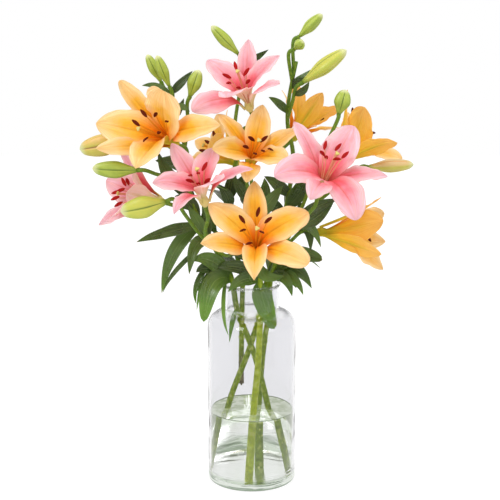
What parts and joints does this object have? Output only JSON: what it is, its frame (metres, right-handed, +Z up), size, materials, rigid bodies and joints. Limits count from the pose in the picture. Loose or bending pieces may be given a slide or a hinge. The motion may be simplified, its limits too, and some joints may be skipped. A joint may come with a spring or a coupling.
{
  "type": "lily bouquet in a glass vase",
  "caption": "Bunch of cut Asiatic lilies, apricot-orange and pink, with buds and leaves, standing in water in a clear glass bottle vase.",
  "frame": {"origin": "centre of the vase's foot, on the surface it stands on", "axes": "+Z up along the vase's axis; -Y is the bouquet's front"},
  "size_m": [0.3983, 0.2979, 0.5695],
  "materials": {
    "glass": "clear polished glass, a little green in the thick foot",
    "water": "clear still water",
    "greenery": "waxy green stems and dark satin leaves",
    "orange_bloom": "soft apricot-orange tepals, deeper orange in the throat",
    "pink_bloom": "soft pink tepals, coral-rose in the throat",
    "green_bud": "waxy fresh green bud",
    "ripe_bud": "waxy yellow-green to peach bud about to open"
  },
  "bodies": {
    "root": {"vase": "glass", "water": "water", "stem_orange_left": "greenery", "stem_pink_left": "greenery", "stem_orange_middle": "greenery", "stem_orange_right": "greenery", "stem_pink_right": "greenery", "bloom_pink_top": "pink_bloom", "bloom_orange_middle": "orange_bloom", "bloom_orange_left": "orange_bloom", "bloom_orange_front": "orange_bloom", "bloom_pink_left": "pink_bloom", "bloom_pink_right": "pink_bloom", "bloom_pink_far_left": "pink_bloom", "bloom_orange_low_right": "orange_bloom", "bloom_orange_right": "orange_bloom", "bloom_orange_high_right": "orange_bloom", "bloom_orange_back": "orange_bloom", "bud_pink_top": "green_bud", "bud_left_tall": "green_bud", "bud_left_near": "green_bud", "bud_left_single": "green_bud", "bud_half_open": "ripe_bud", "bud_left_low": "green_bud", "bud_left_front": "ripe_bud", "bud_top_right": "green_bud", "bud_top_round": "green_bud", "bud_right_large": "green_bud", "bud_right_short": "green_bud", "bud_right_pale": "ripe_bud"}
  },
  "joints": []
}
